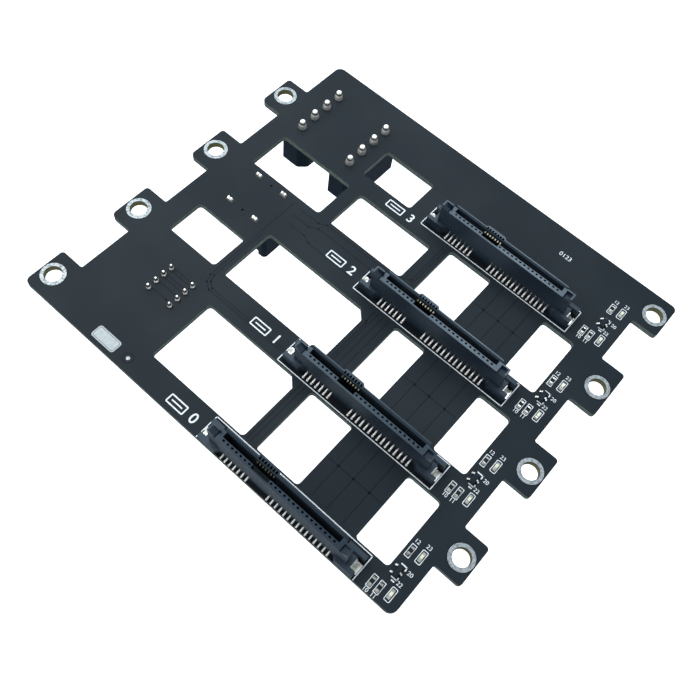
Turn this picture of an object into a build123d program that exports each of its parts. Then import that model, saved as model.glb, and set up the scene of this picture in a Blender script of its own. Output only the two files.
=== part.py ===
"""Drive backplane board with four upright drive receptacles, its cable sockets underneath.

Lengths are in millimetres. X runs along the receptacles, Y from the first bay to the last,
and Z up, towards the drives. The origin is midway between the first and last screw holes of the
left-hand column, on the underside of the board, where it sits on its standoffs.
Positions in plan are measured from the first of those holes, heights from the top of the board.
"""
import os

from build123d import *

os.makedirs("parts", exist_ok=True)

# Bays and screw holes share one pitch
bay_count = 4
bay_pitch = 27.5
first_front = -5.72
receptacle_mid = 78.85
hole_radius = 2.2
ring_radius = 3.2
ring_inset = 0.1
copper = 0.05
odd_hole_drop = 1.25

# Board
board_thickness = 1.6
board_left = 3.4
board_past_bays = 34.35
hole_past_edge = 3.5
board_corner = 2.0
tab_past_hole = 3.5
tab_corner = 0.9
tab_low_corner = 1.5
tab_inner_corner = 0.5
left_tab_reach = [(5.75, 5.95), (6.1, 6.2), (6.05, 6.2), (5.95, 5.3)]
right_tab_reach = [(5.15, 5.7), (5.5, 6.7), (6.85, 7.45), (5.05, 5.9)]

# Air windows: bay, distance past its front, distance short of the next front, left and right sides
window_corner = 1.0
cut_corner = 2.5
left_windows = [(1, 7.0, 9.5, 9.8, 26.0), (2, 9.7, 5.0, 9.8, 33.9), (2, 9.7, 5.0, 37.8, 61.9),
                (3, 0.5, 16.1, 33.6, 50.2)]
cut_windows = [(0, 7.2, 1.4, 33.1, 62.9), (1, 7.0, 3.8, 29.3, 62.9)]
bay_windows = [(0, 7.2, 1.4, -12.05, 0.9), (0, 7.2, 1.4, 17.75, 27.15), (1, 7.0, 1.9, -8.55, 0.9),
               (1, 7.0, 1.9, 17.75, 27.15), (2, 7.1, 2.0, -12.25, 0.9), (2, 7.1, 2.0, 17.75, 27.15)]

# Contact groups
contact_pitch = 1.27
signal_count, power_count = 7, 15
group_step = 5
contact_shift = -0.08
secondary_count = 7
secondary_pitch = 0.8

# Receptacle housing along X, from the contacts outwards
slot_end_room = 0.875
slot_end_wall = 1.05
post_width = 2.3
post_to_notch = 1.1
notch_run = 1.6
front_gap = 0.1
ear_chamfer = 1.0
key_gap = 0.655
bump_end = 0.75

# Receptacle housing along Y, from the front of its ears
blade_near = 1.0
slot_near = 2.3
slot_width = 1.4
far_wall = 0.9
ear_past_blade = 0.85
well_back = 1.6
well_bar = 0.22
secondary_well_depth = 1.05
secondary_bar = 0.3
key_depth = 0.9
bump_depth = 0.65
notch_edge = 1.15
post_far = 3.05
post_rim = 0.4
blade_corner = 0.5

# Receptacle housing heights
blade_height = 8.4
slot_floor = 2.0
ear_height = 2.8
post_height = 9.6
post_slope = 1.7
well_cover = 1.3
secondary_cover = 0.45

# Contacts
contact_width, contact_thick = 0.45, 0.2
secondary_width = 0.32
well_width, secondary_well = 0.6, 0.5
tail_notch = 2.1
toe, far_toe = 0.05, 1.1
spring_start, spring_peak, spring_end = 2.3, 1.0, 0.2
far_spring_start, far_spring_peak = 1.95, 0.75
tip_reach, far_tip_reach, tip_lean, far_tip_gap = 0.32, 0.5, 0.3, 0.05

# Solder tabs in the ears
tab_height, tab_thick = 1.6, 0.25
tab_bend_up, tab_bend_out = 1.0, 0.6
tab_clear, tab_gap = 0.5, 0.05

# Chip parts at each bay, places as distance from the middle and past the front of the receptacle
resistor_places = [(28.65, 13.1), (26.5, 2.65), (28.55, 2.65)]
led_places = [(31.3, 13.65), (31.25, 3.3)]
transistor_place = (29.25, 7.8)
chip_length, chip_width, chip_height = 1.6, 0.8, 0.45
chip_cap = 0.3
solder_run = 0.4
led_base, led_lens, led_draft = 0.25, 0.3, 10
transistor_width, transistor_length, transistor_height = 1.3, 2.9, 0.95
transistor_lift, transistor_edge = 0.05, 0.12
lead_along, lead_out, lead_foot, lead_bend = 0.95, 0.65, 0.3, 0.2
lead_rise, lead_thick, lead_width = 0.5, 0.15, 0.42

# Power headers under the board
power_xs = [11.15, 28.65]
power_past_front = 8.4
power_shift = -0.35
power_pins = 4
power_pitch = 5.08
power_end = 3.38
power_width, power_height = 8.0, 11.4
power_cut = 2.2
power_corner, power_edge = 1.6, 0.5
power_wall = 1.0
power_floor = 3.0
power_tail_radius = 0.85
power_pin_radius = 1.05
power_pin_lead, power_tail_round = 0.5, 0.45
power_tail_up = 2.5
power_pin_short = 1.0
power_foot, power_climb = 0.35, 1.5
joint_lip = 0.08
joint_hollow = 1.6

# Fan headers under the board
fan_xs = [19.15, 26.6]
fan_past_front = 19.05
fan_pins = 4
fan_pitch = 2.54
fan_pin = 0.64
fan_tail_up = 1.7
fan_width, fan_base = 5.8, 3.2
fan_wall, fan_wall_height = 1.2, 8.6
fan_wall_length = 5.6
fan_wall_lead = 0.6
fan_pin_down = 11.0
fan_pin_lead = 0.16
fan_hole_radius = 0.47
fan_foot, fan_climb = 0.35, 0.7

# Host connector under the board
host_x, host_past_front = 18.95, 2.1
host_half_x, host_half_y = 9.2, 6.95
host_height = 10.4
host_step, host_pillar = 0.7, 2.3
host_wall, host_floor = 1.6, 2.2
host_corner = 1.2
leg_in_x, leg_in_y = 4.75, 1.5
leg_length, leg_thick, leg_slit = 1.4, 0.5, 0.35
leg_up, leg_down = 0.9, 3.0
leg_foot, leg_climb, leg_draft = 0.35, 0.5, 28
peg_radius, peg_up = 0.48, 1.1
tongue_in, tongue_end, tongue_thick = 6.3, 0.25, 1.2
tongue_depth = 6.6
host_contacts = 9
host_pitch = 0.8
host_contact_width, host_contact_thick, host_contact_length = 0.35, 0.15, 5.6
host_tail, host_tail_pitch = 0.9, 0.7

# Places that follow from the sizes above
top = board_thickness
first_hole_y = -(bay_count - 1) * bay_pitch / 2
fronts = [first_front + bay * bay_pitch for bay in range(bay_count)]
board_right = receptacle_mid + board_past_bays
column_gap = board_right + hole_past_edge
left_points = [(0, bay * bay_pitch) for bay in range(bay_count)]
right_points = [(column_gap, (bay + 0.5) * bay_pitch) for bay in range(bay_count)]
right_points[1] = (column_gap, right_points[1][1] - odd_hole_drop)
hole_points = left_points + right_points
board_low = left_points[0][1] - left_tab_reach[0][0]
board_high = right_points[-1][1] + right_tab_reach[-1][1]

contact_span = (signal_count + power_count + group_step - 2) * contact_pitch
signal_first = receptacle_mid + contact_shift - contact_span / 2
signal_xs = [signal_first + n * contact_pitch for n in range(signal_count)]
power_first = signal_xs[-1] + group_step * contact_pitch
contact_xs = [power_first + n * contact_pitch for n in range(power_count)]
secondary_mid = (signal_xs[-1] + power_first) / 2
secondary_span = (secondary_count - 1) * secondary_pitch
secondary_xs = [secondary_mid - secondary_span / 2 + n * secondary_pitch for n in range(secondary_count)]

slot_half = contact_span / 2 + slot_end_room
blade_half = slot_half + slot_end_wall
post_outer = blade_half + post_width
notch_half = post_outer + post_to_notch
ear_half = notch_half + notch_run
front_half = blade_half + front_gap
key_x = secondary_mid - receptacle_mid
key_half = group_step * contact_pitch / 2 - key_gap
bump_half = secondary_span / 2 + bump_end

slot_far = slot_near + slot_width
blade_far = slot_far + far_wall
bump_far = blade_far + bump_depth
ear_depth = blade_far + ear_past_blade
notch_far = ear_depth - notch_edge
well_top = blade_height - well_cover
secondary_top = blade_height - secondary_cover
secondary_back = slot_far + secondary_well_depth

chip_spots = [(receptacle_mid + x, front + y) for front in fronts for x, y in resistor_places]
led_spots = [(receptacle_mid + x, front + y) for front in fronts for x, y in led_places]
transistor_spots = [(receptacle_mid + transistor_place[0], front + transistor_place[1]) for front in fronts]
power_mid = fronts[3] + power_past_front
power_span = (power_pins - 1) * power_pitch
power_first_y = power_mid - power_span / 2
power_rows = [[(x, power_first_y + n * power_pitch) for n in range(power_pins)] for x in power_xs]
power_length = power_span + 2 * power_end
fan_first_y = fronts[0] + fan_past_front
fan_mid = fan_first_y + (fan_pins - 1) / 2 * fan_pitch
fan_rows = [[(x, fan_first_y + n * fan_pitch) for n in range(fan_pins)] for x in fan_xs]
host_mid = (host_x, fronts[2] + host_past_front)
host_leg_x = host_half_x - leg_in_x
host_leg_y = host_half_y - leg_in_y
tongue_x = host_half_x - tongue_in
tongue_half_y = host_half_y - host_step - host_wall - tongue_end


def level(height, x=0.0, y=0.0):
    """Flat plane at a height above the underside, its zero at a point in plan."""
    return Plane(origin=(x, first_hole_y + y, height))


def side(x, y, height):
    """Upright plane across X at one point: its first axis is Y, its second Z."""
    return Plane(origin=(x, first_hole_y + y, height), x_dir=(0, 1, 0), z_dir=(1, 0, 0))


def outward(hand, x, y):
    """Upright plane along X from one point: its first axis goes to one hand, its second up."""
    return Plane(origin=(x, first_hole_y + y, top), x_dir=(hand, 0, 0), z_dir=(0, -hand, 0))


def save(builder, name):
    builder.part.label = name
    export_step(builder.part, f"parts/{name}.step")


def block(x0, y0, x1, y1):
    """Rectangle between two corners of the plane in use."""
    with Locations(((x0 + x1) / 2, (y0 + y1) / 2)):
        Rectangle(x1 - x0, y1 - y0)


def window(bay, past, short, left, right):
    """Air window between one row of receptacles and the next."""
    block(left, fronts[bay] + past, right, fronts[bay] + bay_pitch - short)


# The bare board
with BuildPart() as board:
    with BuildSketch(level(0)) as outline:
        block(board_left, board_low, board_right, board_high)
        for (x, y), (down, up) in zip(left_points, left_tab_reach):
            block(x - tab_past_hole, y - down, board_left, y + up)
        for (x, y), (down, up) in zip(right_points, right_tab_reach):
            block(board_right, y - down, x + tab_past_hole, y + up)
        roots = outline.vertices().filter_by_position(Axis.X, board_left, board_right).sort_by(Axis.Y)
        fillet(roots[1:-1], tab_inner_corner)
        roots = outline.vertices().filter_by_position(Axis.X, board_left, board_right).sort_by(Axis.Y)
        fillet([roots[0], roots[-1]], board_corner)
        ends = [group.sort_by(Axis.Y) for group in outline.vertices().group_by(Axis.X)]
        fillet(ends[0][1::2] + ends[-1][:-1], tab_corner)
        ends = [group.sort_by(Axis.Y) for group in outline.vertices().group_by(Axis.X)]
        fillet(ends[0][::2] + ends[-1][-1:], tab_low_corner)
    extrude(amount=board_thickness)
    with BuildSketch(level(0)) as windows:
        for place in left_windows + cut_windows:
            window(*place)
        for bay, past, short, left, right in bay_windows:
            window(bay, past, short, receptacle_mid + left, receptacle_mid + right)
        fillet(windows.vertices(), window_corner)
    extrude(amount=board_thickness, mode=Mode.SUBTRACT)
    with BuildSketch(level(0)):
        for bay, past, short, left, right in cut_windows:
            far = fronts[bay] + bay_pitch - short
            with BuildLine():
                Polyline((right, far - cut_corner), (right, far), (right - cut_corner, far), close=True)
            make_face()
    extrude(amount=board_thickness)
    with BuildSketch(level(0)):
        with Locations(*hole_points):
            Circle(hole_radius)
        with Locations(*sum(power_rows, [])):
            Circle(power_tail_radius)
        with Locations(*sum(fan_rows, [])):
            Circle(fan_hole_radius)
        with Locations(host_mid):
            with GridLocations(2 * host_leg_x, 2 * host_leg_y, 2, 2):
                Rectangle(leg_length, leg_thick)
            with GridLocations(1, 2 * host_leg_y, 1, 2):
                Circle(peg_radius)
    extrude(amount=board_thickness, mode=Mode.SUBTRACT)
save(board, "circuit_board")

# Plated ring round each screw hole
with BuildPart() as rings:
    with BuildSketch(level(top)):
        with Locations(*hole_points):
            Circle(ring_radius)
            Circle(hole_radius + ring_inset, mode=Mode.SUBTRACT)
    extrude(amount=copper)
save(rings, "screw_hole_rings")


# Drive receptacles
def wells(low, high, near, far, width, xs):
    """Cut one row of upright wells, one for each contact."""
    with BuildSketch(level(top + low, 0, front), mode=Mode.PRIVATE) as plan:
        with Locations(*[(x, (near + far) / 2) for x in xs]):
            Rectangle(width, far - near)
    extrude(plan.sketch, amount=high - low, mode=Mode.SUBTRACT)


near_xs = signal_xs + contact_xs
spine = well_back + contact_thick
far_spine = secondary_back - contact_thick

for bay, front in enumerate(fronts):
    with BuildPart() as housing:
        with BuildSketch(level(top, receptacle_mid, front)):
            block(-ear_half, 0, ear_half, ear_depth)
            with BuildLine():
                Polyline((-front_half, 0), (front_half, 0), (front_half - ear_chamfer, blade_near),
                         (ear_chamfer - front_half, blade_near), close=True)
            make_face(mode=Mode.SUBTRACT)
            with Locations((0, (blade_far + ear_depth) / 2)):
                Rectangle(2 * blade_half, ear_depth - blade_far, mode=Mode.SUBTRACT)
            with Locations((0, ear_depth / 2)):
                with GridLocations(2 * ear_half, 1, 2, 1):
                    Rectangle(2 * notch_run, ear_depth - 2 * notch_edge, mode=Mode.SUBTRACT)
        extrude(amount=ear_height)
        with BuildSketch(level(top, receptacle_mid, front)) as blade:
            block(-blade_half, blade_near, blade_half, blade_far)
            chamfer(blade.vertices().group_by(Axis.Y)[-1], blade_corner)
            with BuildLine():
                Polyline((key_x - bump_half, blade_far), (key_x - bump_half + bump_depth, bump_far),
                         (key_x + bump_half - bump_depth, bump_far), (key_x + bump_half, blade_far),
                         close=True)
            make_face()
        extrude(amount=blade_height)
        with BuildSketch(level(top, receptacle_mid, front)):
            block(-post_outer, blade_near, -blade_half, post_far)
            block(blade_half, blade_near, post_outer, post_far)
        extrude(amount=post_height)
        for hand in (-1, 1):
            with BuildSketch(outward(hand, receptacle_mid, front + (blade_near + post_far - post_rim) / 2)):
                with BuildLine():
                    Polyline((blade_half, post_height - post_slope), (post_outer - post_rim, post_height),
                             (blade_half, post_height), close=True)
                make_face()
            extrude(amount=(post_far - post_rim - blade_near) / 2, both=True, mode=Mode.SUBTRACT)
        with BuildSketch(level(top + slot_floor, receptacle_mid, front)):
            block(-slot_half, slot_near, slot_half, slot_far)
            block(key_x - key_half, slot_near - key_depth, key_x + key_half, slot_near)
        extrude(amount=post_height, mode=Mode.SUBTRACT)
        wells(0, well_top, well_back, slot_near, well_width, near_xs)
        wells(well_top, blade_height, well_back, slot_near - well_bar, well_width, near_xs)
        wells(0, tail_notch, 0, well_back, well_width, near_xs)
        wells(0, secondary_top, slot_far, secondary_back, secondary_well, secondary_xs)
        wells(secondary_top, blade_height, slot_far + secondary_bar, secondary_back, secondary_well,
              secondary_xs)
        wells(0, tail_notch, secondary_back, bump_far, secondary_well, secondary_xs)
    save(housing, f"receptacle_{bay}_housing")

    for name, xs in (("signal", signal_xs), ("power", contact_xs)):
        with BuildPart() as contacts:
            with BuildSketch(*[side(x, front, top) for x in xs]):
                with BuildLine():
                    Polyline((toe, 0), (spine, 0), (spine, well_top - spring_start),
                             (slot_near + tip_reach, well_top - spring_peak),
                             (slot_near - tip_lean, well_top - spring_end))
                    offset(amount=contact_thick, side=Side.LEFT, kind=Kind.INTERSECTION)
                make_face()
            extrude(amount=contact_width / 2, both=True)
        save(contacts, f"receptacle_{bay}_{name}_contacts")

    with BuildPart() as far_contacts:
        with BuildSketch(*[side(x, front, top) for x in secondary_xs]):
            with BuildLine():
                Polyline((bump_far + far_toe, 0), (far_spine, 0), (far_spine, secondary_top - far_spring_start),
                         (slot_far - far_tip_reach, secondary_top - far_spring_peak),
                         (slot_far + far_tip_gap, secondary_top - spring_end))
                offset(amount=contact_thick, side=Side.RIGHT, kind=Kind.INTERSECTION)
            make_face()
        extrude(amount=secondary_width / 2, both=True)
    save(far_contacts, f"receptacle_{bay}_secondary_contacts")

    tab_low, tab_high = notch_edge + tab_gap, notch_far - tab_clear - tab_gap
    with BuildPart() as tabs:
        for hand in (-1, 1):
            with BuildSketch(outward(hand, receptacle_mid, front + (tab_low + tab_high) / 2)):
                with BuildLine():
                    Polyline((notch_half, tab_height), (notch_half, tab_bend_up),
                             (notch_half + tab_bend_out, 0), (ear_half + tab_thick, 0))
                    offset(amount=tab_thick, side=Side.LEFT, kind=Kind.INTERSECTION)
                make_face()
            extrude(amount=(tab_high - tab_low) / 2, both=True)
    save(tabs, f"receptacle_{bay}_solder_tabs")

# Chip parts beside the receptacles
inner_length = chip_length - 2 * chip_cap

with BuildPart() as resistors:
    with BuildSketch(level(top)):
        with Locations(*chip_spots):
            Rectangle(chip_width, inner_length)
    extrude(amount=chip_height)
save(resistors, "chip_resistors")

with BuildPart() as led_bases:
    with BuildSketch(level(top)):
        with Locations(*led_spots):
            Rectangle(chip_width, inner_length)
    extrude(amount=led_base)
save(led_bases, "indicator_led_bases")

with BuildPart() as led_lenses:
    with BuildSketch(level(top + led_base)):
        with Locations(*led_spots):
            Rectangle(chip_width, inner_length)
    extrude(amount=led_lens, taper=led_draft)
save(led_lenses, "indicator_led_lenses")

with BuildPart() as chip_ends:
    for spots, height in ((chip_spots, chip_height), (led_spots, led_base)):
        for x, y in spots:
            for hand in (-1, 1):
                end_plane = Plane(origin=(x, first_hole_y + y, top), x_dir=(0, hand, 0), z_dir=(hand, 0, 0))
                with BuildSketch(end_plane):
                    with BuildLine():
                        Polyline((inner_length / 2, 0), (inner_length / 2, height), (chip_length / 2, height),
                                 (chip_length / 2 + solder_run, 0), close=True)
                    make_face()
                extrude(amount=chip_width / 2, both=True)
save(chip_ends, "chip_end_joints")

with BuildPart() as transistors:
    with BuildSketch(level(top + transistor_lift)):
        with Locations(*transistor_spots):
            Rectangle(transistor_width, transistor_length)
    extrude(amount=transistor_height)
    chamfer(transistors.faces().group_by(Axis.Z)[-1].edges(), transistor_edge)
save(transistors, "transistors")

body_side = transistor_width / 2
with BuildPart() as transistor_leads:
    for x, y in transistor_spots:
        for hand, places in ((-1, (-lead_along, lead_along)), (1, (0,))):
            for along in places:
                with BuildSketch(outward(hand, x, y + along)):
                    with BuildLine():
                        Polyline((body_side + lead_out, 0), (body_side + lead_out - lead_foot, 0),
                                 (body_side + lead_bend, lead_rise), (body_side, lead_rise))
                        offset(amount=lead_thick, side=Side.RIGHT, kind=Kind.INTERSECTION)
                    make_face()
                extrude(amount=lead_width / 2, both=True)
save(transistor_leads, "transistor_leads")


def joints(spots, pin_radius, foot, climb):
    """Ring of solder climbing each pin where it leaves the top of the board."""
    for x, y in spots:
        with BuildSketch(outward(1, x, y), mode=Mode.PRIVATE) as profile:
            with BuildLine():
                Polyline((pin_radius, climb), (pin_radius, 0), (pin_radius + foot, 0),
                         (pin_radius + foot, joint_lip))
                RadiusArc((pin_radius + foot, joint_lip), (pin_radius, climb), -joint_hollow * climb)
            make_face()
        revolve(profile.sketch, axis=Axis((x, first_hole_y + y, 0), (0, 0, 1)))


# Power headers
for number, (x, spots) in enumerate(zip(power_xs, power_rows), 1):
    with BuildPart() as shroud:
        with BuildSketch(level(-power_height, x + power_shift, power_mid)) as outer:
            Rectangle(power_width, power_length)
            chamfer(outer.vertices().group_by(Axis.X)[-1], power_cut)
            fillet(outer.vertices().sort_by(Axis.X)[2:], power_corner)
            fillet(outer.vertices().group_by(Axis.X)[0], power_edge)
        extrude(amount=power_height)
        with BuildSketch(level(-power_height, x + power_shift, power_mid)) as inner:
            Rectangle(power_width - 2 * power_wall, power_length - 2 * power_wall)
            chamfer(inner.vertices().group_by(Axis.X)[-1], power_cut - power_wall / 2)
        extrude(amount=power_height - power_floor, mode=Mode.SUBTRACT)
        with BuildSketch(level(-power_floor)):
            with Locations(*spots):
                Circle(power_tail_radius)
        extrude(amount=power_floor, mode=Mode.SUBTRACT)
    save(shroud, f"power_header_{number}_housing")
    with BuildPart() as pins:
        with BuildSketch(level(-power_floor)):
            with Locations(*spots):
                Circle(power_pin_radius)
        extrude(amount=power_floor - power_height + power_pin_short)
        chamfer(pins.faces().group_by(Axis.Z)[0].edges(), power_pin_lead)
        with BuildSketch(level(-power_floor)):
            with Locations(*spots):
                Circle(power_tail_radius)
        extrude(amount=power_floor + top + power_tail_up)
        fillet(pins.faces().group_by(Axis.Z)[-1].edges(), power_tail_round)
    save(pins, f"power_header_{number}_pins")
with BuildPart() as power_joints:
    joints(sum(power_rows, []), power_tail_radius, power_foot, power_climb)
save(power_joints, "power_header_solder_joints")

# Fan headers
for number, (x, spots) in enumerate(zip(fan_xs, fan_rows), 1):
    with BuildPart() as fan_body:
        with BuildSketch(level(-fan_base, x, fan_mid)):
            Rectangle(fan_width, fan_pins * fan_pitch)
        extrude(amount=fan_base)
        with BuildSketch(level(-fan_wall_height, x, fan_mid)):
            with Locations((-(fan_width - fan_wall) / 2, 0)):
                Rectangle(fan_wall, fan_wall_length)
        extrude(amount=fan_wall_height)
        chamfer(fan_body.faces().group_by(Axis.Z)[0].edges().group_by(Axis.X)[-1], fan_wall_lead)
        with BuildSketch(level(-fan_base)):
            with Locations(*spots):
                Rectangle(fan_pin, fan_pin)
        extrude(amount=fan_base, mode=Mode.SUBTRACT)
    save(fan_body, f"fan_header_{number}_housing")
    with BuildPart() as fan_posts:
        with BuildSketch(level(-fan_pin_down)):
            with Locations(*spots):
                Rectangle(fan_pin, fan_pin)
        extrude(amount=fan_pin_down + top + fan_tail_up)
        pin_ends = fan_posts.faces().group_by(Axis.Z)
        chamfer(pin_ends[0].edges() + pin_ends[-1].edges(), fan_pin_lead)
    save(fan_posts, f"fan_header_{number}_pins")
with BuildPart() as fan_joints:
    joints(sum(fan_rows, []), fan_hole_radius, fan_foot, fan_climb)
save(fan_joints, "fan_header_solder_joints")

# Host connector
with BuildPart() as host:
    with BuildSketch(level(-host_height, *host_mid)) as host_outline:
        Rectangle(2 * host_half_x, 2 * host_half_y)
        fillet(host_outline.vertices(), host_corner)
        with GridLocations(1, 2 * host_half_y, 1, 2):
            Rectangle(2 * (host_half_x - host_pillar), 2 * host_step, mode=Mode.SUBTRACT)
    extrude(amount=host_height)
    with BuildSketch(level(-host_height, *host_mid)):
        Rectangle(2 * (host_half_x - host_wall), 2 * (host_half_y - host_step - host_wall))
    extrude(amount=host_height - host_floor, mode=Mode.SUBTRACT)
    with BuildSketch(level(-host_floor, *host_mid)):
        with GridLocations(2 * tongue_x, 1, 2, 1):
            Rectangle(tongue_thick, 2 * tongue_half_y)
    extrude(amount=-tongue_depth)
    with BuildSketch(level(-leg_down, *host_mid)):
        with GridLocations(2 * host_leg_x, 2 * host_leg_y, 2, 2):
            Rectangle(leg_length, leg_thick)
    extrude(amount=leg_down, mode=Mode.SUBTRACT)
    with BuildSketch(level(0, *host_mid)):
        with GridLocations(1, 2 * host_leg_y, 1, 2):
            Circle(peg_radius)
    extrude(amount=peg_up)
save(host, "host_connector_housing")

with BuildPart() as host_terminals:
    with BuildSketch(level(-host_floor, *host_mid)):
        for hand in (-1, 1):
            with Locations((hand * tongue_x, 0)):
                with GridLocations(tongue_thick + host_contact_thick, host_pitch, 2, host_contacts):
                    Rectangle(host_contact_thick, host_contact_width)
    extrude(amount=-host_contact_length)
    with BuildSketch(level(-host_contact_thick, *host_mid)):
        with GridLocations(2 * host_half_x + host_tail, host_tail_pitch, 2, 2 * host_contacts):
            Rectangle(host_tail, host_contact_width)
    extrude(amount=host_contact_thick)
save(host_terminals, "host_connector_contacts")

with BuildPart() as legs:
    with BuildSketch(level(-leg_down, *host_mid)):
        with GridLocations(2 * host_leg_x, 2 * host_leg_y, 2, 2):
            Rectangle(leg_length, leg_thick)
    extrude(amount=leg_down + top + leg_up)
    with BuildSketch(level(top, *host_mid)):
        with GridLocations(2 * host_leg_x, 2 * host_leg_y, 2, 2):
            Rectangle(leg_slit, leg_thick)
    extrude(amount=leg_up, mode=Mode.SUBTRACT)
save(legs, "host_connector_legs")

with BuildPart() as leg_joints:
    with BuildSketch(level(top, *host_mid)):
        with GridLocations(2 * host_leg_x, 2 * host_leg_y, 2, 2):
            Rectangle(leg_length + 2 * leg_foot, leg_thick + 2 * leg_foot)
    extrude(amount=leg_climb, taper=leg_draft)
    with BuildSketch(level(top, *host_mid)):
        with GridLocations(2 * host_leg_x, 2 * host_leg_y, 2, 2):
            Rectangle(leg_length, leg_thick)
    extrude(amount=leg_climb, mode=Mode.SUBTRACT)
save(leg_joints, "host_connector_solder_joints")
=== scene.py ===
import math

import bmesh
import bpy
from mathutils import Matrix, Vector


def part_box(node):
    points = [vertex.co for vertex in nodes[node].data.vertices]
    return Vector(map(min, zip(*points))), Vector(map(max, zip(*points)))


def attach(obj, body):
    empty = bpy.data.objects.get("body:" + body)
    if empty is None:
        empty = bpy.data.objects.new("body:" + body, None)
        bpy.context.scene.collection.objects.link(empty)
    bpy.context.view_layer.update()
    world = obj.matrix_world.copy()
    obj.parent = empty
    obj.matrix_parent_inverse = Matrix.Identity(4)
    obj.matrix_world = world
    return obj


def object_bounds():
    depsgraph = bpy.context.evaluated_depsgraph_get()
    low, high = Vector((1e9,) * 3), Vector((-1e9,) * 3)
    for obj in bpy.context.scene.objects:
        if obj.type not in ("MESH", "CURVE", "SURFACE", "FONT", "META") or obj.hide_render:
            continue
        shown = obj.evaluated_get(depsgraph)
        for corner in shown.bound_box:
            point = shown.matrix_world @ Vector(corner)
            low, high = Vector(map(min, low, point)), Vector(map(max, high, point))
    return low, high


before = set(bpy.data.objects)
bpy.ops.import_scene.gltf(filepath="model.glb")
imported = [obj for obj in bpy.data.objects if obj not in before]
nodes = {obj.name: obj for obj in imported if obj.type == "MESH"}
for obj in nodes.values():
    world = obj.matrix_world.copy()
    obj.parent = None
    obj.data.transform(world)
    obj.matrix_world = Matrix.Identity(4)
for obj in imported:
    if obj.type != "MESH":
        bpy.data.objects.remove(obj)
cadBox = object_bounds()
mm = 0.001
hair = 0.01 * mm  # a height or distance under this counts as none
print("frame loaded:", len(nodes), "nodes")

# places read from the frame are in metres, and sizes given here in millimetres, apart from the studio's
boardLow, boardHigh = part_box("circuit_board")
boardTop = boardHigh.z
bayCount = 4
bayBoxes = [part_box(f"receptacle_{bay}_housing") for bay in range(bayCount)]
bayFronts = [low.y for low, high in bayBoxes]
bayMiddle = (bayBoxes[0][0].x + bayBoxes[0][1].x) / 2
bayStep = (bayFronts[-1] - bayFronts[0]) / (bayCount - 1)

# screw holes: a column of four at each side of the board, at the step of the bays
holeLook = {"radius": 2.2, "margin": 0.1, "ring": 3.2, "oddHole": 6, "oddDrop": 1.25}
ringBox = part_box("screw_hole_rings")
firstHole = Vector((ringBox[0].x + holeLook["ring"] * mm, ringBox[0].y + holeLook["ring"] * mm, 0))
lastHole = Vector((ringBox[1].x - holeLook["ring"] * mm, ringBox[1].y - holeLook["ring"] * mm, 0))
holes = [Vector((firstHole.x, firstHole.y + row * bayStep, 0)) for row in range(bayCount)]
holes += [Vector((lastHole.x, lastHole.y - row * bayStep, 0)) for row in range(bayCount)]
holes[holeLook["oddHole"]].y -= holeLook["oddDrop"] * mm  # the one hole that lies off the step


# shader nodes
class Wire:
    # one output socket, so that maths on it is written as it is said
    def __init__(self, owner, socket):
        self.owner = owner
        self.socket = socket

    def maths(self, kind, *others):
        return self.owner.node("ShaderNodeMath", {"operation": kind}, dict(enumerate((self,) + others)))

    def __add__(self, other):
        return self.maths("ADD", other)

    __radd__ = __add__

    def __mul__(self, other):
        return self.maths("MULTIPLY", other)

    __rmul__ = __mul__

    def __sub__(self, other):
        return self.maths("SUBTRACT", other)

    def __rsub__(self, other):
        return self.maths("MULTIPLY", -1).maths("ADD", other)

    def __lt__(self, other):
        return self.maths("LESS_THAN", other)

    def __gt__(self, other):
        return self.maths("GREATER_THAN", other)

    def __abs__(self):
        return self.maths("ABSOLUTE")


class NodeTree:
    # the nodes of one material, or of the world
    def __init__(self, tree):
        self.tree = tree

    def node(self, kind, settings=None, inputs=None, output=0):
        made = self.tree.nodes.new(kind)
        for key, value in (settings or {}).items():
            setattr(made, key, value)
        for key, value in (inputs or {}).items():
            if isinstance(value, Wire):
                self.tree.links.new(value.socket, made.inputs[key])
            else:
                made.inputs[key].default_value = value
        return Wire(self, made.outputs[output])

    def join(self, wire, name, socket):
        self.tree.links.new(wire.socket, self.tree.nodes[name].inputs[socket])


class Finish(NodeTree):
    # one material, made from its main shader's plain numbers
    def __init__(self, name, **plain):
        self.material = bpy.data.materials.new(name)
        self.material.use_nodes = True
        super().__init__(self.material.node_tree)
        self.shader = self.tree.nodes["Principled BSDF"]
        for socket, value in plain.items():
            self.shader.inputs[socket.replace("_", " ")].default_value = value

    def place(self):
        return self.node("ShaderNodeTexCoord", output="Object")

    def axes(self):
        split = self.node("ShaderNodeSeparateXYZ", inputs={0: self.place()})
        return [Wire(self, out) for out in split.socket.node.outputs]

    def noise(self, scale, detail, rough=0.5, stretch=None):
        where = self.place()
        if stretch:
            where = self.node("ShaderNodeMapping", inputs={"Vector": where, "Scale": stretch})
        inputs = {"Vector": where, "Scale": scale, "Detail": detail, "Roughness": rough}
        return self.node("ShaderNodeTexNoise", inputs=inputs)

    def fade(self, value, low, high, kind="SMOOTHSTEP"):
        # 0 at low and 1 at high
        settings = {"interpolation_type": kind}
        return self.node("ShaderNodeMapRange", settings, {0: value, 1: low, 2: high, 3: 0.0, 4: 1.0})

    def blend(self, share, first, second):
        return self.node("ShaderNodeMix", {"data_type": "RGBA"}, {0: share, 6: first, 7: second}, output=2)

    def bump(self, height, strength, depth, under=None):
        inputs = {"Strength": strength, "Distance": depth * mm, "Height": height}
        if under:
            inputs["Normal"] = under
        return self.node("ShaderNodeBump", inputs=inputs)

    def feed(self, socket, wire):
        self.tree.links.new(wire.socket, self.shader.inputs[socket])

    def dress(self, *names):
        for name in names:
            slots = nodes[name].data.materials
            slots.clear()
            slots.append(self.material)


def tone(r, g, b):
    return (r, g, b, 1.0)


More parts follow.
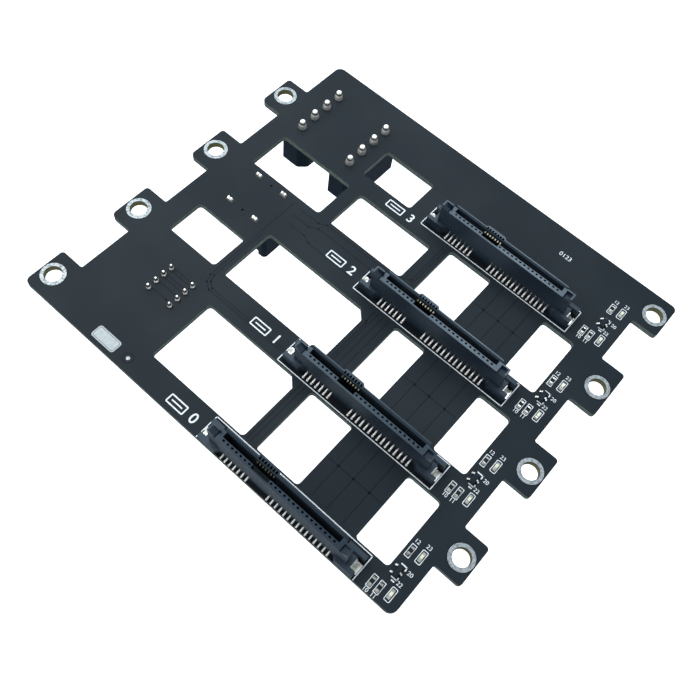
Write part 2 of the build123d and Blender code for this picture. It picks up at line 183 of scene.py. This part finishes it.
# circuit board: matt ink on top and below, raw laminate on its cut edges
boardLook = {
    "ink": tone(0.0120, 0.0192, 0.0262), "inkWorn": tone(0.0172, 0.0250, 0.0325),
    "gapInk": tone(0.0075, 0.012, 0.018), "gapInkWorn": tone(0.011, 0.016, 0.023),
    "cloudScale": 38, "cloudFade": (0.38, 0.68), "grainScale": 5200, "grainBump": (0.25, 0.02),
    "gloss": 0.11, "rough": 0.5, "grainRough": 0.1, "edgeRough": 0.2,
    # the near-black ink round the receptacles is partly bare laminate and partly painted shade
    "inkBareAndShaded": tone(0.003, 0.005, 0.008), "darkShare": 0.85,
    "darkNear": -0.9, "darkFar": 6.6, "darkHalf": 23.4,
    "laminate": tone(0.18, 0.22, 0.20), "resin": tone(0.06, 0.078, 0.07),
    "layerScale": 900, "layerStretch": (1, 1, 9), "layerFade": (0.35, 0.7), "edgeIn": 0.06,
    "holeWall": tone(0.17, 0.165, 0.075), "leftReach": 2.4, "rightReach": 3.6,
}


def boardFinish(name, ink, inkWorn):
    look = boardLook
    mask = Finish(name, IOR=1.5, Specular_IOR_Level=look["gloss"])
    x, y, z = mask.axes()
    cloud = mask.noise(look["cloudScale"], detail=2)
    grain = mask.noise(look["grainScale"], detail=3)
    ground = mask.blend(mask.fade(cloud, *look["cloudFade"]), ink, inkWorn)
    # the ink is darker over bare laminate in the frames printed round the receptacles, and painted shade
    # takes it near black there, where the receptacles shade the board
    along = (y - bayFronts[0] - look["darkNear"] * mm).maths("FLOORED_MODULO", bayStep)
    inRow = along < (look["darkFar"] - look["darkNear"]) * mm
    inFrame = abs(x - bayMiddle) < look["darkHalf"] * mm
    above = z > boardTop - hair
    ground = mask.blend(inRow * inFrame * above * look["darkShare"], ground, look["inkBareAndShaded"])
    # cut edges in their layers, and the yellower walls of the screw holes
    layers = mask.noise(look["layerScale"], detail=2, stretch=look["layerStretch"])
    cut = mask.blend(mask.fade(layers, *look["layerFade"]), look["laminate"], look["resin"])

    def inColumn(hole, reach):
        across = abs(x - hole.x) < (holeLook["radius"] + holeLook["margin"]) * mm
        offStep = abs((y - hole.y + bayStep / 2).maths("FLOORED_MODULO", bayStep) - bayStep / 2)
        return across * (offStep < reach * mm)

    inHole = inColumn(firstHole, look["leftReach"]).maths("MAXIMUM", inColumn(lastHole, look["rightReach"]))
    cut = mask.blend(inHole, cut, look["holeWall"])
    onEdge = (z > look["edgeIn"] * mm) * (z < boardTop - look["edgeIn"] * mm)
    mask.feed("Base Color", mask.blend(onEdge, ground, cut))
    mask.feed("Roughness", look["rough"] + grain * look["grainRough"] + onEdge * look["edgeRough"])
    mask.feed("Normal", mask.bump(grain, *look["grainBump"]))
    return mask


maskInk = boardFinish("matt_board_ink", boardLook["ink"], boardLook["inkWorn"])
maskInk.dress("circuit_board")

# bare and soldered metal: bright and dull tone, roughness, scale of patches, depth of dents, metallic
metalLook = {
    "levelled_tin": (tone(0.39, 0.44, 0.465), tone(0.23, 0.27, 0.30), 0.55, 1700, 0.04, 1.0),
    "solder": (tone(0.80, 0.79, 0.76), tone(0.42, 0.41, 0.39), 0.16, 1500, 0.08, 1.0),
    "tail_tin": (tone(0.93, 0.93, 0.91), tone(0.80, 0.80, 0.78), 0.28, 1500, 0.02, 0.7),
    "tin_plate": (tone(0.88, 0.88, 0.85), tone(0.62, 0.61, 0.57), 0.2, 1100, 0.02, 1.0),
    "gold_plate": (tone(0.95, 0.78, 0.42), tone(0.75, 0.56, 0.26), 0.22, 1300, 0.01, 1.0),
    "tab_tin": (tone(0.50, 0.52, 0.49), tone(0.33, 0.34, 0.31), 0.42, 1200, 0.03, 0.6),
    "power_solder": (tone(0.72, 0.72, 0.68), tone(0.34, 0.34, 0.31), 0.3, 900, 0.03, 0.6),
}
metalWear = {"fade": (0.42, 0.68), "rough": 0.22, "dentScale": 0.7, "dentStrength": 0.4}


def metalFinish(name):
    bright, dull, shine, scale, dent, metallic = metalLook[name]
    metal = Finish(name, Metallic=metallic)
    worn = metal.fade(metal.noise(scale, detail=4, rough=0.6), *metalWear["fade"])
    metal.feed("Base Color", metal.blend(worn, bright, dull))
    metal.feed("Roughness", shine + worn * metalWear["rough"])
    dents = metal.noise(scale * metalWear["dentScale"], detail=2)
    metal.feed("Normal", metal.bump(dents, metalWear["dentStrength"], dent))
    return metal


metals = {name: metalFinish(name) for name in metalLook}
metals["levelled_tin"].dress("screw_hole_rings")
metals["solder"].dress("chip_end_joints", "fan_header_solder_joints", "host_connector_solder_joints")
metals["tin_plate"].dress("transistor_leads", "power_header_1_pins", "power_header_2_pins")
metals["tin_plate"].dress("fan_header_1_pins", "fan_header_2_pins", "host_connector_legs")
metals["gold_plate"].dress("host_connector_contacts")
metals["power_solder"].dress("power_header_solder_joints")

# contacts: tinned tails, gold where the drive touches them
contactLook = {
    "tail": metalLook["tail_tin"][0], "tailDull": metalLook["tail_tin"][1],
    "tip": metalLook["gold_plate"][0],
    "platedFrom": 2.0, "platedTo": 3.2, "tailMetal": 0.9, "tailRough": 0.35, "tipRough": 0.2,
    "scuffScale": 1800, "scuffFade": (0.4, 0.7), "scuffRough": 0.15,
}
contactMetal = Finish("contact_plating")
height = contactMetal.axes()[2] - boardTop
tip = contactMetal.fade(height, contactLook["platedFrom"] * mm, contactLook["platedTo"] * mm)
rubbing = contactMetal.noise(contactLook["scuffScale"], detail=3)
scuffs = contactMetal.fade(rubbing, *contactLook["scuffFade"])
tail = contactMetal.blend(scuffs, contactLook["tail"], contactLook["tailDull"])
contactMetal.feed("Base Color", contactMetal.blend(tip, tail, contactLook["tip"]))
contactMetal.feed("Metallic", contactLook["tailMetal"] + tip * (1 - contactLook["tailMetal"]))
smoothed = tip * (contactLook["tailRough"] - contactLook["tipRough"])
contactMetal.feed("Roughness", contactLook["tailRough"] - smoothed + scuffs * contactLook["scuffRough"])

# painted shade: the fine contacts of the far side are painted dark, and a painted highlight makes only their
# crests bright
farLook = {
    "crestHighlight": tone(1.0, 0.93, 0.68), "shade": tone(0.06, 0.05, 0.03), "shadeDull": tone(0.03, 0.025, 0.016),
    "crestAt": 7.47, "crestFrom": 0.12, "crestTo": 0.2, "crestRough": 0.25, "shadeRough": 0.3,
}
farContact = Finish("far_contact_painted_shade", Metallic=1.0)
fromCrest = abs(farContact.axes()[2] - boardTop - farLook["crestAt"] * mm)
offCrest = farContact.fade(fromCrest, farLook["crestFrom"] * mm, farLook["crestTo"] * mm)
shadeScuffNoise = farContact.noise(contactLook["scuffScale"], detail=3)
scuffedShade = farContact.fade(shadeScuffNoise, *contactLook["scuffFade"])
# the painted shade varies at random in scuffed patches
shaded = farContact.blend(scuffedShade, farLook["shade"], farLook["shadeDull"])
# painted highlight at the crest, painted shade everywhere else
farContact.feed("Base Color", farContact.blend(offCrest, farLook["crestHighlight"], shaded))
farContact.feed("Roughness", farLook["crestRough"] + offCrest * farLook["shadeRough"])
for bay in range(bayCount):
    contactMetal.dress(f"receptacle_{bay}_signal_contacts", f"receptacle_{bay}_power_contacts")
    farContact.dress(f"receptacle_{bay}_secondary_contacts")
    metals["tin_plate"].dress(f"receptacle_{bay}_solder_tabs")

# moulded plastics: fresh and rubbed tone, roughness, gloss, depth of the skin's grain
plasticLook = {
    "receptacle_nylon": (tone(0.006, 0.013, 0.026), tone(0.010, 0.019, 0.034), 0.16, 0.75, 0.003),
    "header_nylon": (tone(0.002, 0.010, 0.022), tone(0.004, 0.015, 0.030), 0.5, 0.12, 0.012),
    "fan_header_nylon": (tone(0.62, 0.60, 0.53), tone(0.52, 0.50, 0.43), 0.4, 0.5, 0.012),
    "chip_epoxy": (tone(0.009, 0.012, 0.013), tone(0.016, 0.019, 0.020), 0.5, 0.2, 0.012),
    "transistor_epoxy": (tone(0.012, 0.019, 0.026), tone(0.018, 0.026, 0.034), 0.55, 0.12, 0.012),
    "led_body": (tone(0.72, 0.72, 0.66), tone(0.62, 0.61, 0.54), 0.35, 0.5, 0.012),
}
mouldLook = {
    "sheen": tone(0.68, 0.87, 1.0), "swirlScale": 260, "swirlFade": (0.4, 0.72), "swirlRough": 0.12,
    "skinScale": 6500, "skinRough": 0.06, "skinStrength": 0.2,
}
mouthLook = {"flow": (0.5, 1, 1), "slopeFrom": 3.7, "slopeTo": 4.3, "polishedFrom": 8.3, "wallMatt": 0.30}


def plasticFinish(name):
    body, rubbed, shine, gloss, grain = plasticLook[name]
    mouth = mouthLook if name == "receptacle_nylon" else None
    plastic = Finish(name, IOR=1.5, Specular_IOR_Level=gloss, Specular_Tint=mouldLook["sheen"])
    flow = mouth["flow"] if mouth else None
    swirl = plastic.noise(mouldLook["swirlScale"], detail=3, rough=0.55, stretch=flow)
    skin = plastic.noise(mouldLook["skinScale"], detail=2)
    plastic.feed("Base Color", plastic.blend(plastic.fade(swirl, *mouldLook["swirlFade"]), body, rubbed))
    rough = shine + swirl * mouldLook["swirlRough"] + skin * mouldLook["skinRough"]
    relief = plastic.bump(skin, mouldLook["skinStrength"], grain)
    if mouth:
        y, z = plastic.axes()[1:]
        # the mould is polished at the mouth and matt on the walls
        rough = rough + (z < boardTop + mouth["polishedFrom"] * mm) * mouth["wallMatt"]
        # the mouth's far rim slopes down into the slot
        fromFront = (y - bayFronts[0]).maths("FLOORED_MODULO", bayStep)
        slope = plastic.fade(fromFront, mouth["slopeFrom"] * mm, mouth["slopeTo"] * mm, kind="LINEAR")
        relief = plastic.bump(slope, 1.0, mouth["slopeTo"] - mouth["slopeFrom"], under=relief)
    plastic.feed("Roughness", rough)
    plastic.feed("Normal", relief)
    return plastic


plastics = {name: plasticFinish(name) for name in plasticLook}
plastics["receptacle_nylon"].dress(*(f"receptacle_{bay}_housing" for bay in range(bayCount)))
plastics["header_nylon"].dress("power_header_1_housing", "power_header_2_housing", "host_connector_housing")
plastics["fan_header_nylon"].dress("fan_header_1_housing", "fan_header_2_housing")
plastics["chip_epoxy"].dress("chip_resistors")
plastics["transistor_epoxy"].dress("transistors")
plastics["led_body"].dress("indicator_led_bases")

# lens of the indicator lamps: clear and pale, with the yellow of the phosphor in patches
lensLook = {
    "clear": tone(0.80, 0.83, 0.72), "phosphor": tone(0.62, 0.66, 0.42),
    "patchScale": 900, "patchFade": (0.4, 0.7), "coat": 0.6, "coatRough": 0.08,
    "rough": 0.12, "skinScale": 3000, "skinRough": 0.1,
}
ledLens = Finish("led_lens", IOR=1.5, Coat_Weight=lensLook["coat"], Coat_Roughness=lensLook["coatRough"])
patches = ledLens.fade(ledLens.noise(lensLook["patchScale"], detail=2), *lensLook["patchFade"])
ledLens.feed("Base Color", ledLens.blend(patches, lensLook["clear"], lensLook["phosphor"]))
lensSkin = ledLens.noise(lensLook["skinScale"], detail=2)
ledLens.feed("Roughness", lensLook["rough"] + lensSkin * lensLook["skinRough"])
ledLens.dress("indicator_led_lenses")
print("finishes on the frame's nodes")


# flat printed and etched shapes
def stand(target, made, turn, at, z):
    # moves a finished shape to its place and adds it to the piece
    bmesh.ops.rotate(made, verts=made.verts, cent=(0, 0, 0), matrix=Matrix.Rotation(turn, 3, "Z"))
    bmesh.ops.translate(made, verts=made.verts, vec=(at[0], at[1], z))
    shape = bpy.data.meshes.new("shape")
    made.to_mesh(shape)
    made.free()
    target.from_mesh(shape)
    bpy.data.meshes.remove(shape)


def thicken(made, thick):
    # gives a flat shape its thickness, from its underside up
    bmesh.ops.solidify(made, geom=made.faces[:], thickness=thick * mm)
    bmesh.ops.recalc_face_normals(made, faces=made.faces)
    lowest = min(vert.co.z for vert in made.verts)
    bmesh.ops.translate(made, verts=made.verts, vec=(0, 0, -lowest))


def hollow(made, line):
    # leaves only a rim of this width
    rim = bmesh.ops.inset_region(made, faces=made.faces[:], thickness=line * mm, use_boundary=True,
                                 use_even_offset=True)["faces"]
    bmesh.ops.delete(made, geom=[face for face in made.faces if face not in rim], context="FACES")


def panel(target, at, size, thick, z, turn=0.0, corner=0.0, line=0.0):
    made = bmesh.new()
    bmesh.ops.create_grid(made, x_segments=1, y_segments=1, size=0.5)
    bmesh.ops.scale(made, vec=(size[0] * mm, size[1] * mm, 1), verts=made.verts)
    if corner:
        bmesh.ops.bevel(made, geom=made.verts[:], offset=corner * mm, offset_type="OFFSET", segments=5,
                        profile=0.5, affect="VERTICES", material=-1)
    if line:
        hollow(made, line)
    thicken(made, thick)
    stand(target, made, turn, at, z)


def disc(target, at, radius, thick, z, line=0.0, sides=40):
    made = bmesh.new()
    bmesh.ops.create_circle(made, cap_ends=True, segments=sides, radius=radius * mm)
    if line:
        hollow(made, line)
    thicken(made, thick)
    stand(target, made, 0.0, at, z)


def stroke(target, points, width, thick, z):
    lap = width * 0.8  # each run is this much longer than its points, which closes the corners
    for (x0, y0), (x1, y1) in zip(points, points[1:]):
        run = Vector((x1 - x0, y1 - y0))
        middle = ((x0 + x1) / 2, (y0 + y1) / 2)
        panel(target, middle, (run.length / mm + lap, width), thick, z, math.atan2(run.y, run.x))


def figure(target, text, at, size, thick, z, bold=0.0):
    curve = bpy.data.curves.new("figure", "FONT")
    curve.body = text
    curve.size = size * mm
    curve.align_x, curve.align_y = "CENTER", "CENTER"
    curve.extrude = thick * mm / 2
    curve.offset = bold * curve.size
    curve.resolution_u = 4
    holder = bpy.data.objects.new("figure", curve)
    bpy.context.scene.collection.objects.link(holder)
    bpy.context.view_layer.update()
    flat = bpy.data.meshes.new_from_object(holder.evaluated_get(bpy.context.evaluated_depsgraph_get()))
    bpy.data.objects.remove(holder)
    made = bmesh.new()
    made.from_mesh(flat)
    bpy.data.meshes.remove(flat)
    stand(target, made, 0.0, at, z + thick * mm / 2)


def addPiece(name, made, finish):
    mesh = bpy.data.meshes.new(name)
    made.to_mesh(mesh)
    made.free()
    mesh.materials.append(finish.material)
    piece = bpy.data.objects.new(name, mesh)
    bpy.context.scene.collection.objects.link(piece)
    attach(piece, "root")


def spot(x, y, front=firstHole.y):
    # a place across from the first hole, and up from it or from the front of a bay
    return (firstHole.x + x * mm, front + y * mm)


# white printing: frames round the receptacles, bay numbers, part outlines
printLook = {
    "white": tone(0.84, 0.92, 0.98), "thin": tone(0.66, 0.74, 0.80),
    "panel": tone(0.46, 0.53, 0.56), "panelThin": tone(0.38, 0.44, 0.47),
    "patchScale": 1400, "patchFade": (0.36, 0.62), "rough": 0.5, "patchRough": 0.15,
    "thick": 0.02, "line": 0.24, "bold": 0.012,
    "frameLeft": 23.55, "frameRight": 23.3, "frameNear": 1.0, "frameFar": 6.65,
    "numberSize": 3.75, "numberAt": [(51.75, 2.6), (51.5, 2.65), (51.85, 2.45), (52.5, -1.9)],
    "symbolLeft": 7.95, "symbolSize": (5.4, 2.5), "symbolLine": 0.34, "symbolCorner": 0.3, "symbolBar": 1.5,
    "partLine": 0.17, "tinySize": 1.4,
}


def printFinish(name, thin, full):
    white = Finish(name, IOR=1.45)
    patches = white.noise(printLook["patchScale"], detail=4, rough=0.65)
    patchy = white.fade(patches, *printLook["patchFade"])
    white.feed("Base Color", white.blend(patchy, thin, full))
    white.feed("Roughness", printLook["rough"] + patchy * printLook["patchRough"])
    return white


whiteInk = printFinish("white_print", printLook["thin"], printLook["white"])
panelInk = printFinish("panel_print", printLook["panelThin"], printLook["panel"])

printed = bmesh.new()
thick, line = printLook["thick"], printLook["line"]
left, right = bayMiddle - printLook["frameLeft"] * mm, bayMiddle + printLook["frameRight"] * mm
symbolSize, symbolLine = printLook["symbolSize"], printLook["symbolLine"]
for bay, front in enumerate(bayFronts):
    near, far = front - printLook["frameNear"] * mm, front + printLook["frameFar"] * mm
    if near > boardLow.y:
        stroke(printed, [(left, near), (right, near)], line, thick, boardTop)
    near = max(near, boardLow.y + line * mm / 2)
    stroke(printed, [(left, near), (left, far), (right, far), (right, near)], line, thick, boardTop)
    x, y = spot(*printLook["numberAt"][bay], front)
    figure(printed, str(bay), (x, y), printLook["numberSize"], thick, boardTop, printLook["bold"])
    # a plain receptacle symbol stands left of each number
    x -= (printLook["symbolLeft"] - symbolSize[0] / 2) * mm
    bar = printLook["symbolBar"] * mm
    panel(printed, (x, y), symbolSize, thick, boardTop, corner=printLook["symbolCorner"], line=symbolLine)
    stroke(printed, [(x - bar, y), (x + bar, y)], symbolLine, thick, boardTop)

# outlines and plain figures at the small parts of each bay: centre, size, corner
partMarks = {
    "outlines": [((107.45, 13.1), (1.4, 3.3), 0.1), ((105.35, 2.7), (1.4, 3.2), 0.1),
                 ((107.42, 2.7), (1.4, 3.2), 0.1), ((110.15, 13.6), (1.55, 3.5), 0.35),
                 ((110.15, 3.2), (1.55, 3.5), 0.35)],
    "figures": [((107.4, 15.7), "12"), ((110.2, 16.3), "23"), ((105.35, 0.46), "10"), ((107.4, 0.46), "11"),
                ((110.2, 5.95), "22"), ((110.6, 9.1), "20")],
    "corners": [[(107.8, 9.75), (109.3, 9.75), (109.3, 8.95)], [(107.8, 6.2), (109.2, 6.2), (109.2, 6.8)],
                [(108.3, 5.6), (108.95, 5.6)]],
    "cornerLine": 0.3,
}
for front in bayFronts:
    for at, size, corner in partMarks["outlines"]:
        panel(printed, spot(*at, front), size, thick, boardTop, corner=corner, line=printLook["partLine"])
    for at, text in partMarks["figures"]:
        figure(printed, text, spot(*at, front), printLook["tinySize"], thick, boardTop)
    for points in partMarks["corners"]:
        stroke(printed, [spot(*at, front) for at in points], partMarks["cornerLine"], thick, boardTop)

# plain panel near the first hole, a block in a thin frame, and a number near the last bay
cornerMarks = {
    "panelAt": (22.5, -2.95), "panelSize": (7.4, 3.4), "panelCorner": 0.7, "panelLine": 0.28,
    "panelInset": 0.76, "insetCorner": 0.4, "number": "0123", "numberAt": (89.65, 94.7), "numberSize": 1.9,
}
labels = bmesh.new()
at, size = spot(*cornerMarks["panelAt"]), cornerMarks["panelSize"]
inner = [side - cornerMarks["panelInset"] for side in size]
panel(labels, at, size, thick, boardTop, corner=cornerMarks["panelCorner"], line=cornerMarks["panelLine"])
panel(labels, at, inner, thick, boardTop, corner=cornerMarks["insetCorner"])
at, size = spot(*cornerMarks["numberAt"]), cornerMarks["numberSize"]
figure(printed, cornerMarks["number"], at, size, thick, boardTop)
addPiece("white_printing", printed, whiteInk)
addPiece("blank_panel", labels, panelInk)
print("white printing")

# alignment mark beside the panel: a bare tinned dot in a cleared ring
markLook = {"at": (29.9, -2.9), "dot": 0.5, "dotThick": 0.03, "clear": 1.15, "ring": 1.55}
dots = bmesh.new()
disc(dots, spot(*markLook["at"]), markLook["dot"], markLook["dotThick"], boardTop)
addPiece("alignment_dot", dots, metals["levelled_tin"])

# etched lines under the ink, a little darker than the copper fill beside them
traceLook = {"width": 0.42, "thick": 0.008}


def across(rows, left, right):
    return [[(left, y), (right, y)] for y in rows]


def upright(columns, far, near):
    return [[(x, far), (x, near)] for x in columns]


traces = across([21.4, 20.4, 18.9, 17.9, 16.3], 20.1, 25.9)
traces += [
    [(20.1, 13.9), (24.6, 13.9), (25.9, 13.4)],
    [(27.2, 57.0), (27.2, 26.4), (28.0, 24.3), (30.0, 23.0), (54.2, 23.0)],
    [(28.0, 44.0), (28.0, 26.8), (28.7, 25.0), (30.4, 23.8), (54.2, 23.8)],
    [(29.6, 56.6), (36.0, 56.6), (38.2, 57.8), (60.5, 57.8), (64.6, 60.4), (64.6, 73.5)],
    [(29.6, 54.0), (35.0, 54.0), (37.4, 55.4), (61.2, 55.4), (65.4, 58.2), (65.4, 73.5)],
    [(30.6, 51.2), (36.0, 51.2), (38.2, 50.2), (53.8, 50.2)],
    [(63.9, 46.8), (63.9, 43.6), (64.2, 42.8), (64.2, 28.9)],
]
traces += upright([64.9, 66.4, 68.2], 46.8, 28.9)
traces += upright([63.8, 64.9], 19.8, 2.0)
for far, near in [(20.6, 2.2), (48.0, 29.6), (75.4, 57.0)]:
    traces += upright([83.4, 87.9, 92.6], far, near)
traces += across([66.4, 38.4, 11.0], 80.6, 95.8)
etched = bmesh.new()
for points in traces:
    stroke(etched, [spot(x, y) for x, y in points], traceLook["width"], traceLook["thick"], boardTop)
maskGroove = boardFinish("ink_over_gaps", boardLook["gapInk"], boardLook["gapInkWorn"])
addPiece("etched_gaps", etched, maskGroove)

# cleared rings round the mark and the screw rings, and the rings of the underside
clearLook = {"width": 0.22, "thick": 0.012, "underThick": 0.02, "sides": 64}
clearWidth, clearThick, underThick = clearLook["width"], clearLook["thick"], clearLook["underThick"]
underWidth = holeLook["ring"] - holeLook["radius"] - holeLook["margin"]
clearings = bmesh.new()
underRings = bmesh.new()
markWidth = markLook["ring"] - markLook["clear"]
disc(clearings, spot(*markLook["at"]), markLook["ring"], clearThick, boardTop, markWidth)
for hole in holes:
    at = (hole.x, hole.y)
    disc(clearings, at, holeLook["ring"] + clearWidth, clearThick, boardTop, clearWidth, clearLook["sides"])
    disc(underRings, at, holeLook["ring"], underThick, -underThick * mm, underWidth, clearLook["sides"])
addPiece("ring_clearings", clearings, maskGroove)
addPiece("underside_rings", underRings, metals["levelled_tin"])
print("etched lines and rings")

# solder at the contacts: a thin pad under each tail, a small heap at its toe and a run up its slope
soldered = {
    "pad": (-0.2, 0.3), "firstPad": (0.02, 0.4), "padWidth": 0.42, "padThick": 0.03,
    "toe": -0.14, "heap": (0.33, 0.36, 0.32), "footGap": 0.5,
    "runNear": [0.1, -0.1, -0.1, -0.1], "runFar": 1.55, "runWidth": 0.36, "runBevel": 0.3,
    "runLow": 0.16, "runHigh": 0.8,
    "farPad": (5.85, 6.7), "farPadWidth": 0.4, "farToe": 6.45, "farHeap": (0.2, 0.25, 0.14),
    "tabs": [(-22.85, 2.9, 1.0, 1.15), (21.75, 2.45, 1.5, 2.1)], "tabThick": 0.34, "tabCorner": 0.1,
}


def tailPlaces(name):
    # the middles of a row of contacts, read from where its feet stand on the board
    feet = sorted(vert.co.x for vert in nodes[name].data.vertices if vert.co.z < boardTop + hair)
    places = []
    for x in feet:
        if not places or x - places[-1][0] > soldered["footGap"] * mm:
            places.append([x, x])
        places[-1][1] = x
    return [(low + high) / 2 for low, high in places]


def flatPad(target, x, front, span, width):
    near, far = span
    panel(target, (x, front + (near + far) / 2 * mm), (width, far - near), soldered["padThick"], boardTop)


def heap(target, x, y, size):
    made = bmesh.new()
    bmesh.ops.create_uvsphere(made, u_segments=10, v_segments=6, radius=mm)
    bmesh.ops.scale(made, vec=size, verts=made.verts)
    everything = made.verts[:] + made.edges[:] + made.faces[:]
    bmesh.ops.bisect_plane(made, geom=everything, plane_co=(0, 0, 0), plane_no=(0, 0, -1), clear_outer=True)
    bmesh.ops.holes_fill(made, edges=made.edges[:], sides=20)
    stand(target, made, 0.0, (x, y), boardTop)


def solderRun(target, x, front, near):
    # solder drawn up the slope of a tail
    length = soldered["runFar"] - near
    made = bmesh.new()
    bmesh.ops.create_cube(made, size=mm)
    bmesh.ops.scale(made, vec=(soldered["runWidth"], length, 1), verts=made.verts)
    bmesh.ops.translate(made, vec=(0, length / 2 * mm, mm / 2), verts=made.verts)
    for vert in made.verts:
        vert.co.z *= soldered["runHigh"] if vert.co.y > hair else soldered["runLow"]
    upper = [edge for edge in made.edges if min(vert.co.z for vert in edge.verts) > 0]
    easing = soldered["runWidth"] * soldered["runBevel"] * mm
    bmesh.ops.bevel(made, geom=upper, offset=easing, offset_type="OFFSET", segments=3, profile=0.5,
                    affect="EDGES", material=-1)
    stand(target, made, 0.0, (x, front + near * mm), boardTop)


joints = bmesh.new()
tabJoints = bmesh.new()
for bay, front in enumerate(bayFronts):
    for x in tailPlaces(f"receptacle_{bay}_signal_contacts") + tailPlaces(f"receptacle_{bay}_power_contacts"):
        # the first bay stands at the board's edge, with a short pad and no heap
        flatPad(joints, x, front, soldered["pad"] if bay else soldered["firstPad"], soldered["padWidth"])
        solderRun(joints, x, front, soldered["runNear"][bay])
        if bay:
            heap(joints, x, front + soldered["toe"] * mm, soldered["heap"])
    for x in tailPlaces(f"receptacle_{bay}_secondary_contacts"):
        flatPad(joints, x, front, soldered["farPad"], soldered["farPadWidth"])
        heap(joints, x, front + soldered["farToe"] * mm, soldered["farHeap"])
    for x, y, wide, deep in soldered["tabs"]:
        panel(tabJoints, (bayMiddle + x * mm, front + y * mm), (wide, deep), soldered["tabThick"], boardTop,
              corner=soldered["tabCorner"])
addPiece("tail_solder", joints, metals["tail_tin"])
addPiece("tab_solder", tabJoints, metals["tab_tin"])
print("solder on the tails")

# studio: pale floor, even soft light, camera where the photograph was taken from
studio = {
    "floorDrop": 110.0, "floorSize": 4.0, "floorAside": 0.06, "floor": tone(0.52, 0.56, 0.60), "glow": 0.9,
    "sky": tone(0.93, 0.97, 1.0), "skyLevel": 0.6,
    "lamps": [
        ("overhead", (-0.30, 0.42, 0.58), (0.65, 0.6), 2.8, (0.91, 0.965, 1.0)),
        ("left", (-0.32, -0.06, 0.37), (0.38, 0.38), 1.4, (1.0, 0.98, 0.95)),
        ("side", (0.75, -0.35, 0.45), (0.4, 0.4), 0.5, (1.0, 1.0, 1.0)),
        ("glint", (-0.036, 0.335, 0.512), (0.03, 0.085), 0.13, (1.0, 1.0, 1.0)),
    ],
    "camera": {"at": (108.9, -78.05, 169.3), "turn": (25.932, -5.061, 41.121), "lens": 39.87, "sensor": 36.0,
               "clipStart": 0.01},
}
floorShape = bmesh.new()
bmesh.ops.create_grid(floorShape, x_segments=1, y_segments=1, size=studio["floorSize"] / 2)
floorPlace = (studio["floorAside"], 0, cadBox[0].z - studio["floorDrop"] * mm)
bmesh.ops.translate(floorShape, verts=floorShape.verts, vec=floorPlace)
floorMesh = bpy.data.meshes.new("floor")
floorShape.to_mesh(floorMesh)
floorShape.free()
floor = bpy.data.objects.new("floor", floorMesh)
bpy.context.scene.collection.objects.link(floor)
floorFinish = Finish("pale_floor", Base_Color=studio["floor"], Roughness=0.9, Specular_IOR_Level=0.0)
seen = floorFinish.node("ShaderNodeLightPath", output="Is Camera Ray")
glowing = {"Color": tone(1, 1, 1), "Strength": seen * studio["glow"]}
glow = floorFinish.node("ShaderNodeEmission", inputs=glowing)
matt = Wire(floorFinish, floorFinish.shader.outputs[0])
lit = floorFinish.node("ShaderNodeAddShader", inputs={0: matt, 1: glow})
floorFinish.join(lit, "Material Output", "Surface")
floorMesh.materials.append(floorFinish.material)

# the world lights the object softly, and is white where the camera sees it
world = bpy.data.worlds.new("studio")
bpy.context.scene.world = world
world.use_nodes = True
sky = NodeTree(world.node_tree)
soft = sky.tree.nodes["Background"]
soft.inputs["Color"].default_value = studio["sky"]
soft.inputs["Strength"].default_value = studio["skyLevel"]
white = sky.node("ShaderNodeBackground", inputs={"Color": tone(1, 1, 1), "Strength": 1.0})
seen = sky.node("ShaderNodeLightPath", output="Is Camera Ray")
shown = sky.node("ShaderNodeMixShader", inputs={0: seen, 1: Wire(sky, soft.outputs[0]), 2: white})
sky.join(shown, "World Output", "Surface")

middle = (cadBox[0] + cadBox[1]) / 2
for name, offset, size, power, colour in studio["lamps"]:
    lamp = bpy.data.lights.new(name, "AREA")
    lamp.shape = "RECTANGLE"
    lamp.size, lamp.size_y = size
    lamp.energy = power
    lamp.color = colour
    holder = bpy.data.objects.new(name, lamp)
    bpy.context.scene.collection.objects.link(holder)
    holder.location = middle + Vector(offset)
    holder.rotation_euler = Vector(offset).to_track_quat("Z", "Y").to_euler()

view = studio["camera"]
lens = bpy.data.cameras.new("camera")
lens.lens, lens.sensor_width = view["lens"], view["sensor"]
lens.clip_start = view["clipStart"]
camera = bpy.data.objects.new("camera", lens)
bpy.context.scene.collection.objects.link(camera)
camera.location = Vector(view["at"]) * mm
camera.rotation_euler = [math.radians(angle) for angle in view["turn"]]
bpy.context.scene.camera = camera
bpy.context.scene.view_settings.view_transform = "Standard"
print("studio")
